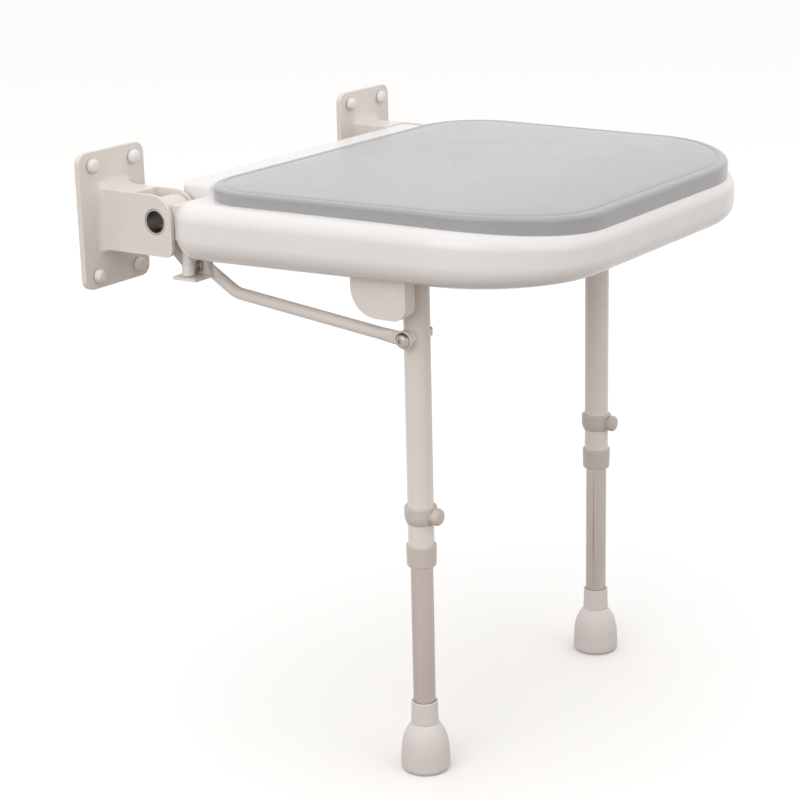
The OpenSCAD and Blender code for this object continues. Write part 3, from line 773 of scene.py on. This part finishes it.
class SHOWERSEAT_OT_brackets(bpy.types.Operator):
    """Build the two wall brackets with a fillet round the root of each arm"""

    bl_idname = "showerseat.brackets"
    bl_label = "Wall brackets"

    def execute(self, context):
        s = context.scene.shower_seat.metal
        for side in SIDES:
            node = f"wall_bracket_{side}"
            pin_lo, pin_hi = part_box(f"hinge_pin_{side}")
            centre = (pin_lo.x + pin_hi.x) / 2
            half_width = (pin_hi.x - pin_lo.x) / 2
            half_height = 30 * MM
            bm = merged_copy(node)
            join(bm, self.fillet(centre, half_width, half_height, s.root_fillet))
            make_piece(f"cast_bracket_{side}", bm, "wall", finish("Powder coat"), [node],
                       s.edge_round)
        return {"FINISHED"}

    def fillet(self, centre, half_width, half_height, reach):
        """A flared skirt from the face of the wall plate up to the sides of the arm."""
        steps = [(0.40, 0.05), (0.24, 0.11), (0.17, 0.20), (0.12, 0.30), (0.07, 0.40)]
        grown = reach + 0.1 * MM
        x, z = half_width + grown, half_height + grown
        plate_face = -5.8 * MM
        bm = bmesh.new()
        face = outline(
            bm, [Vector((centre - x, plate_face, -z)), Vector((centre + x, plate_face, -z)),
                 Vector((centre + x, plate_face, z)), Vector((centre - x, plate_face, z))],
            [grown] * 4, 8)
        pull(bm, face, Vector((0, -0.2 * MM, 0)))
        bmesh.ops.recalc_face_normals(bm, faces=bm.faces)
        front = min(bm.faces, key=lambda each: each.calc_center_median().y)
        for width, rise in steps:
            inset(bm, front, width * reach, rise * reach * 1.3)
        return tidy(bm)


class SHOWERSEAT_OT_screw_caps(bpy.types.Operator):
    """Build the domed caps over the wall screws"""

    bl_idname = "showerseat.screw_caps"
    bl_label = "Screw caps"

    def execute(self, context):
        radius, height = 7.0, 7.0
        for side in SIDES:
            lo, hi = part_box(f"screw_caps_{side}")
            bm = bmesh.new()
            for x in (lo.x + radius * MM, hi.x - radius * MM):
                for z in (lo.z + radius * MM, hi.z - radius * MM):
                    cap = lathe(
                        [(0, 1.5), (radius - 0.9, 1.5), (radius - 0.9, 0), (radius, 0),
                         (radius, 3.2), (radius - 0.9, 5.2), (radius - 2.8, 6.5), (0, height)],
                        Vector((x, hi.y, z)), (0, -1, 0), {5: 1.4, 6: 1.6, 4: 0.9}, 40)
                    join(bm, cap)
            make_piece(f"cap_domes_{side}", tidy(bm), "wall", finish("Cap plastic"),
                       [f"screw_caps_{side}"])
        return {"FINISHED"}


class SHOWERSEAT_OT_hinges(bpy.types.Operator):
    """Build the hollow hinge pins, the knuckles, their bushes and the levelling caps"""

    bl_idname = "showerseat.hinges"
    bl_label = "Seat hinges"

    def execute(self, context):
        for side in SIDES:
            pin, knuckle = f"hinge_pin_{side}", f"hinge_knuckle_{side}"
            pin_lo, pin_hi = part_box(pin)
            self.tube(f"hollow_pin_{side}", pin, 10.75, (pin_hi.z - pin_lo.z) / 2 / MM, 0.8,
                      "wall", "steel", finish("Turned steel"))
            lo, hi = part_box(knuckle)
            self.tube(f"knuckle_tube_{side}", knuckle, 15.5, (hi.z - lo.z) / 2 / MM, 1.6,
                      "seat", "enamel", finish("Powder coat"))
            bushes = f"hinge_bushes_{side}"
            make_piece(f"flanged_bushes_{side}", merged_copy(bushes), "seat",
                       finish("White nylon"), [bushes], 0.3 * MM)
            cap = f"levelling_cap_{side}"
            lo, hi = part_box(cap)
            radius, height = (hi.x - lo.x) / 2 / MM, (hi.z - lo.z) / MM
            base = Vector(((lo.x + hi.x) / 2, (lo.y + hi.y) / 2, lo.z))
            post = lathe(
                [(0, 0), (radius, 0), (radius, height * 0.45), (radius - 0.7, height * 0.47),
                 (radius - 0.7, height), (4.1, height), (4.1, 4), (0, 4)],
                base, (0, 0, 1), {1: 1.6, 2: 0.3, 4: 0.6}, 48)
            make_piece(f"levelling_foot_{side}", tidy(post), "seat", finish("White nylon"), [cap])
        return {"FINISHED"}

    def tube(self, name, node, bore, radius, edge, body, slot, material):
        lo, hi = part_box(node)
        start = Vector((lo.x, (lo.y + hi.y) / 2, (lo.z + hi.z) / 2))
        length = (hi.x - lo.x) / MM
        bm = lathe([(bore, 0), (radius, 0), (radius, length), (bore, length)], start, (1, 0, 0),
                   {0: edge / 2, 1: edge, 2: edge, 3: edge / 2}, 72, hollow=True)
        make_piece(name, tidy(bm), body, material, [node])


# ---- Links ----


class SHOWERSEAT_OT_links(bpy.types.Operator):
    """Build the bent link bars with their flattened eyes"""

    bl_idname = "showerseat.links"
    bl_label = "Link bars"

    rod = 6 * MM
    eye = 9 * MM
    flat = 2.5 * MM

    def execute(self, context):
        s = context.scene.shower_seat.metal
        for side in SIDES:
            node = f"link_bar_{side}"
            x = centre_of(node).x
            rear = centre_of(f"link_rear_bolt_{side}")
            front = centre_of(f"link_bolt_{side}")
            rear, front = Vector((x, rear.y, rear.z)), Vector((x, front.y, front.z))
            bend = rear + Vector(s.link_bend)
            bm = self.rod_between(rear, bend, front, s.link_turn)
            for spot in (rear, front):
                ring = lathe(
                    [(4.4, -self.flat / MM), (self.eye / MM, -self.flat / MM),
                     (self.eye / MM, self.flat / MM), (4.4, self.flat / MM)],
                    spot, (1, 0, 0), {1: 1.0, 2: 1.0, 0: 0.4, 3: 0.4}, 48, hollow=True)
                join(bm, tidy(ring))
            make_piece(f"bent_link_{side}", bm, f"link_{side}", finish("Powder coat"), [node])
        return {"FINISHED"}

    def rod_between(self, rear, bend, front, turn):
        back_way = (rear - bend).normalized()
        front_way = (front - bend).normalized()
        angle = math.pi - back_way.angle(front_way)
        cut = turn * math.tan(angle / 2)
        pivot = bend + (back_way + front_way).normalized() * (turn / math.cos(angle / 2))
        neck = 28 * MM
        start = rear - back_way * neck
        turned = back_way.to_track_quat("Z", "X").to_matrix().to_4x4()
        bm = bmesh.new()
        bmesh.ops.create_circle(bm, cap_ends=True, radius=self.rod, segments=32,
                                matrix=Matrix.Translation(start) @ turned)
        bm.faces.ensure_lookup_table()
        first = bm.faces[0]
        last = pull(bm, first, (bend + back_way * cut) - start)
        axis = back_way.cross(front_way).normalized()
        sweep = bmesh.ops.spin(
            bm, geom=[last, *last.edges, *last.verts], cent=pivot, axis=axis, angle=-angle,
            steps=12)["geom_last"]
        last = next(part for part in sweep if isinstance(part, bmesh.types.BMFace))
        middle = last.calc_center_median()
        last = pull(bm, last, (front - front_way * neck) - middle)
        for face, way in ((first, back_way), (last, front_way)):
            self.flatten(bm, face, way)
        return tidy(bm)

    def flatten(self, bm, face, way):
        """Squeezes the end of the rod into the flat strip that carries the eye."""
        steps = [(4, 0.90, 1.03), (4, 0.78, 1.06), (4, 0.72, 1.05), (4, 0.85, 1.02), (8, 0.97, 1.0)]
        broad = way.cross(Vector((1, 0, 0)))
        for length, thin, wide in steps:
            face = pull(bm, face, way * (length * MM))
            centre = face.calc_center_median()
            for vert in face.verts:
                arm = vert.co - centre
                vert.co = centre + Vector((arm.x * thin, 0, 0)) + broad * (arm.dot(broad) * wide)


# ---- Legs ----


class SHOWERSEAT_OT_leg_pivots(bpy.types.Operator):
    """Give the D-shaped blocks, brackets, heads and pivot hardware their edges and finishes"""

    bl_idname = "showerseat.leg_pivots"
    bl_label = "Leg pivots"

    def execute(self, context):
        parts = (
            ("leg_bracket", "under_bracket", "seat", "enamel", "Powder coat", 0.8),
            ("leg_block", "pivot_block", "seat", "enamel", "Powder coat", 2.2),
            ("leg_pivot_pin", "pivot_pin", "seat", "steel", "Turned steel", 0.5),
            ("leg_head", "leg_top", "leg", "enamel", "Powder coat", 1.4),
            ("pivot_bush", "barrel_bush", "leg", "nylon", "White nylon", 0.3),
            ("link_nut", "lock_nut", "leg", "steel", "Turned steel", 0.5),
            ("link_spacer", "saddle_spacer", "leg", "nylon", "White nylon", 0.4),
            ("link_rear_bolt", "rear_link_bolt", "wall", "steel", "Turned steel", 0.6),
            ("link_rear_nut", "rear_lock_nut", "wall", "steel", "Turned steel", 0.5),
        )
        for side in SIDES:
            for node, name, body, slot, material, edge in parts:
                rides = f"leg_{side}" if body == "leg" else body
                make_piece(f"{name}_{side}", merged_copy(f"{node}_{side}"), rides,
                           finish(material), [f"{node}_{side}"], edge * MM)
            self.dome_bolt(side)
        return {"FINISHED"}

    def dome_bolt(self, side):
        node = f"link_bolt_{side}"
        lo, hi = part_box(node)
        outwards = SIDES[side]
        start = Vector((lo.x if outwards > 0 else hi.x, (lo.y + hi.y) / 2, (lo.z + hi.z) / 2))
        length = (hi.x - lo.x) / MM
        head = length - 5.5
        bm = lathe(
            [(0, 0), (4, 0), (4, head), (7.5, head), (7.5, head + 1.6), (6.2, head + 3.9),
             (3.6, head + 5.1), (2.2, head + 5.3), (2.0, head + 4.0), (0, head + 3.8)],
            start, (outwards, 0, 0), {1: 0.7, 4: 0.6, 5: 1.2, 6: 0.8}, 48)
        make_piece(f"dome_bolt_{side}", tidy(bm), f"leg_{side}", finish("Turned steel"), [node])


class SHOWERSEAT_OT_leg_tubes(bpy.types.Operator):
    """Build the coated upper tubes and the polished inner tubes with their row of holes"""

    bl_idname = "showerseat.leg_tubes"
    bl_label = "Leg tubes"

    def execute(self, context):
        for side in SIDES:
            make_piece(f"upper_tube_{side}", merged_copy(f"leg_tube_{side}"), f"leg_{side}",
                       finish("Powder coat"), [f"leg_tube_{side}"], 0.4 * MM)
            make_piece(f"polished_tube_{side}", merged_copy(f"inner_tube_{side}"),
                       f"lower_leg_{side}", finish("Polished tube"), [f"inner_tube_{side}"],
                       0.25 * MM)
        return {"FINISHED"}


class SHOWERSEAT_OT_leg_fittings(bpy.types.Operator):
    """Build the collars with their spring knobs and the bushes at the tube ends"""

    bl_idname = "showerseat.leg_fittings"
    bl_label = "Collars and knobs"

    tube = 12.7

    def execute(self, context):
        for side in SIDES:
            tube = centre_of(f"leg_tube_{side}")
            self.collar(side, tube)
            self.knob(side, tube)
            self.tube_end(side, tube)
        return {"FINISHED"}

    def collar(self, side, tube):
        node = f"height_collar_{side}"
        lo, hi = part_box(node)
        outer, height = (hi.x - lo.x) / 2 / MM, (hi.z - lo.z) / MM
        base = Vector((tube.x, tube.y, lo.z))
        ring = lathe(
            [(self.tube, 0), (outer - 2.2, 0), (outer - 0.6, 4), (outer, 7), (outer, height),
             (self.tube, height)], base, (0, 0, 1), {1: 0.8, 2: 1.6, 3: 1.6, 4: 1.5}, 72,
            hollow=True)
        reach = (tube.y - lo.y) / MM
        boss = lathe(
            [(0, self.tube + 0.4), (7.6, self.tube + 0.4), (7.2, 15.5), (6.5, 17.5), (6.5, reach),
             (0, reach)], Vector((tube.x, tube.y, (lo.z + hi.z) / 2)), (0, -1, 0),
            {2: 1.0, 3: 1.0, 4: 0.5}, 48)
        make_piece(f"collar_ring_{side}", join(tidy(ring), tidy(boss)), f"leg_{side}",
                   finish("Cream plastic"), [node])

    def knob(self, side, tube):
        node = f"height_knob_{side}"
        lo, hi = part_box(node)
        radius, far = (hi.x - lo.x) / 2 / MM, (tube.y - lo.y) / MM
        axis = Vector((tube.x, tube.y, (lo.z + hi.z) / 2))
        near = 17.0
        cap = lathe(
            [(2.5, 11.4), (2.5, 20.4), (7.0, 20.4), (7.0, near), (radius, near),
             (radius, far - 3.2), (radius - 1.6, far - 0.9), (radius - 4.4, far - 0.2), (0, far)],
            axis, (0, -1, 0), {3: 0.2, 4: 0.7, 5: 1.6, 6: 1.6, 7: 1.0}, 60)
        tip = lathe([(0, 11.4), (2.5, 11.4)], axis, (0, -1, 0), None, 60)
        make_piece(f"spring_knob_{side}", tidy(join(cap, tip)), f"knob_{side}",
                   finish("Cream plastic"), [node])

    def tube_end(self, side, tube):
        node = f"tube_end_bush_{side}"
        lo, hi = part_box(node)
        outer, height = (hi.x - lo.x) / 2 / MM, (hi.z - lo.z) / MM
        bm = lathe(
            [(11.2, 0), (outer - 0.8, 0), (outer - 0.3, 1.6), (outer, height - 3), (outer, height),
             (self.tube, height), (self.tube, 3), (11.2, 3)],
            Vector((tube.x, tube.y, lo.z)), (0, 0, 1), {1: 0.7, 4: 1.2}, 72, hollow=True)
        make_piece(f"tube_ferrule_{side}", tidy(bm), f"leg_{side}", finish("Cream plastic"),
                   [node])


class SHOWERSEAT_OT_feet(bpy.types.Operator):
    """Build the bell-shaped rubber feet with a step under the neck and a ribbed sole"""

    bl_idname = "showerseat.feet"
    bl_label = "Rubber feet"

    def execute(self, context):
        bell = [(14.4, 48.4), (15.7, 46.4), (17.6, 43.8), (19.3, 40.8), (20.8, 37.4), (22.1, 33.4),
                (23.1, 29.0), (23.8, 24.0), (24.2, 18.0), (24.45, 11.0), (24.5, 3.4)]
        sole = [(22.6, 0), (20.2, 0), (19.6, 0.9), (18.6, 0.9), (18.0, 0), (13.2, 0), (12.6, 0.9),
                (11.6, 0.9), (11.0, 0), (0, 0)]
        for side in SIDES:
            node = f"rubber_foot_{side}"
            lo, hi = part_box(node)
            height = (hi.z - lo.z) / MM
            neck = [(0, 10), (11.1, 10), (11.1, height - 0.6), (11.6, height), (13.1, height),
                    (13.2, height - 10), (13.7, 50.6), (13.2, 49.6), (13.1, 49.0)]
            base = Vector(((lo.x + hi.x) / 2, (lo.y + hi.y) / 2, lo.z))
            bm = lathe(neck + bell + sole, base, (0, 0, 1),
                       {4: 0.9, 6: 0.6, 8: 0.3, 9: 0.5, 19: 1.6}, 80)
            make_piece(f"bell_foot_{side}", tidy(bm), f"lower_leg_{side}", finish("Foot rubber"),
                       [node])
        return {"FINISHED"}


class SHOWERSEAT_OT_hidden_parts(bpy.types.Operator):
    """Give the frame nodes that stay in view their finishes"""

    bl_idname = "showerseat.hidden_parts"
    bl_label = "Hidden hardware"

    def execute(self, context):
        for side in SIDES:
            for node in ("cap_washers", "levelling_screw", "knob_spring", "foot_washer"):
                part = nodes[f"{node}_{side}"]
                for slot in part.material_slots:
                    slot.material = finish("Turned steel")
        return {"FINISHED"}


# ---- Stage ----


class SHOWERSEAT_OT_stage(bpy.types.Operator):
    """Build the camera, the pale floor and the soft studio light"""

    bl_idname = "showerseat.stage"
    bl_label = "Stage"

    def execute(self, context):
        s = context.scene.shower_seat.stage
        self.camera(context.scene, s)
        self.floor(context.scene, s)
        self.room(context.scene, s)
        aim = Vector((0, -0.3, -0.15))
        for name, place, size, power, colour in (
                ("Key panel", (-3.2, -0.4, 1.5), 2.6, s.key_light, (1.0, 0.985, 0.97)),
                ("Top panel", (0.2, -0.5, 3.4), 3.4, s.top_light, (1.0, 0.99, 0.985)),
                ("Front panel", (-0.4, -3.4, 0.9), 2.0, s.fill_light, (1.0, 0.97, 0.94))):
            self.panel(context.scene, name, Vector(place), aim, size, power, colour)
        context.scene.view_settings.view_transform = "Standard"
        return {"FINISHED"}

    def camera(self, scene, s):
        azimuth, elevation, roll = s.azimuth, s.elevation, s.roll
        back = Vector((math.sin(azimuth) * math.cos(elevation),
                       -math.cos(azimuth) * math.cos(elevation), math.sin(elevation)))
        right = Vector((math.cos(azimuth), math.sin(azimuth), 0))
        up = back.cross(right)
        turned_right = right * math.cos(roll) + up * math.sin(roll)
        turned_up = up * math.cos(roll) - right * math.sin(roll)
        data = bpy.data.cameras.new("Camera")
        data.lens = s.lens
        data.sensor_width = 36
        data.clip_end = 50
        camera = bpy.data.objects.new("Camera", data)
        turn = Matrix((turned_right, turned_up, back)).transposed()
        camera.matrix_world = Matrix.Translation(Vector(s.camera_place)) @ turn.to_4x4()
        scene.collection.objects.link(camera)
        scene.camera = camera

    def floor(self, scene, s):
        bm = bmesh.new()
        bmesh.ops.create_grid(bm, x_segments=1, y_segments=1, size=20,
                              matrix=Matrix.Translation((0, 0, cad_bounds[0][2])))
        mesh = bpy.data.meshes.new("studio_floor")
        bm.to_mesh(mesh)
        bm.free()
        floor = bpy.data.objects.new("studio_floor", mesh)
        material = bpy.data.materials.new("Studio floor")
        material.use_nodes = True
        tree = material.node_tree
        shader = tree.nodes["Principled BSDF"]
        shader.inputs["Specular IOR Level"].default_value = 0.1
        tone = place_group(tree, "Tone drift", Colour=(*s.floor_colour, 1), Drift=0.01, Scale=0.6)
        marks = place_group(tree, "Handling marks", Roughness=0.8, Spread=0.03, Scale=2.0)
        path = add_node(tree, "ShaderNodeLightPath")
        shade = mix_colours(tree, path.outputs["Is Diffuse Ray"], tone.outputs["Colour"],
                            (*s.bounce_colour, 1))
        tree.links.new(shade, shader.inputs["Base Color"])
        tree.links.new(marks.outputs["Roughness"], shader.inputs["Roughness"])
        mesh.materials.append(material)
        scene.collection.objects.link(floor)

    def room(self, scene, s):
        world = bpy.data.worlds.new("Studio")
        world.use_nodes = True
        shade = world.node_tree.nodes["Background"]
        shade.inputs["Color"].default_value = (1.0, 0.985, 0.97, 1)
        shade.inputs["Strength"].default_value = s.room_light
        scene.world = world

    def panel(self, scene, name, place, aim, size, power, colour):
        data = bpy.data.lights.new(name, "AREA")
        data.shape = "SQUARE"
        data.size = size
        data.energy = power
        data.color = colour
        light = bpy.data.objects.new(name, data)
        turn = (aim - place).to_track_quat("-Z", "Y").to_matrix().to_4x4()
        light.matrix_world = Matrix.Translation(place) @ turn
        scene.collection.objects.link(light)


# ---- Panel and registration ----


OPERATORS = (
    SHOWERSEAT_OT_stage,
    SHOWERSEAT_OT_moulding,
    SHOWERSEAT_OT_pad,
    SHOWERSEAT_OT_underside,
    SHOWERSEAT_OT_brackets,
    SHOWERSEAT_OT_screw_caps,
    SHOWERSEAT_OT_hinges,
    SHOWERSEAT_OT_links,
    SHOWERSEAT_OT_leg_pivots,
    SHOWERSEAT_OT_leg_tubes,
    SHOWERSEAT_OT_leg_fittings,
    SHOWERSEAT_OT_feet,
    SHOWERSEAT_OT_hidden_parts,
)


class SHOWERSEAT_PT_panel(bpy.types.Panel):
    """Lists the seat's settings and the operators that build it"""

    bl_idname = "SHOWERSEAT_PT_panel"
    bl_label = "Shower seat"
    bl_space_type = "VIEW_3D"
    bl_region_type = "UI"
    bl_category = "Shower seat"

    def draw(self, context):
        settings = context.scene.shower_seat
        for title, group in (("Moulding", settings.moulding), ("Pad", settings.pad),
                             ("Metal", settings.metal), ("Fittings", settings.fittings),
                             ("Stage", settings.stage)):
            box = self.layout.box()
            box.label(text=title)
            for name in group.__annotations__:
                box.prop(group, name)
        for operator in OPERATORS:
            self.layout.operator(operator.bl_idname)


CLASSES = (
    MouldingSettings, PadSettings, MetalSettings, FittingSettings, StageSettings,
    ShowerSeatSettings, *OPERATORS, SHOWERSEAT_PT_panel,
)


def register():
    for each in CLASSES:
        bpy.utils.register_class(each)
    bpy.types.Scene.shower_seat = PointerProperty(type=ShowerSeatSettings)


def unregister():
    del bpy.types.Scene.shower_seat
    for each in reversed(CLASSES):
        bpy.utils.unregister_class(each)


def main():
    register()
    for operator in OPERATORS:
        category, name = operator.bl_idname.split(".")
        getattr(getattr(bpy.ops, category), name)()


if __name__ == "__main__":
    main()
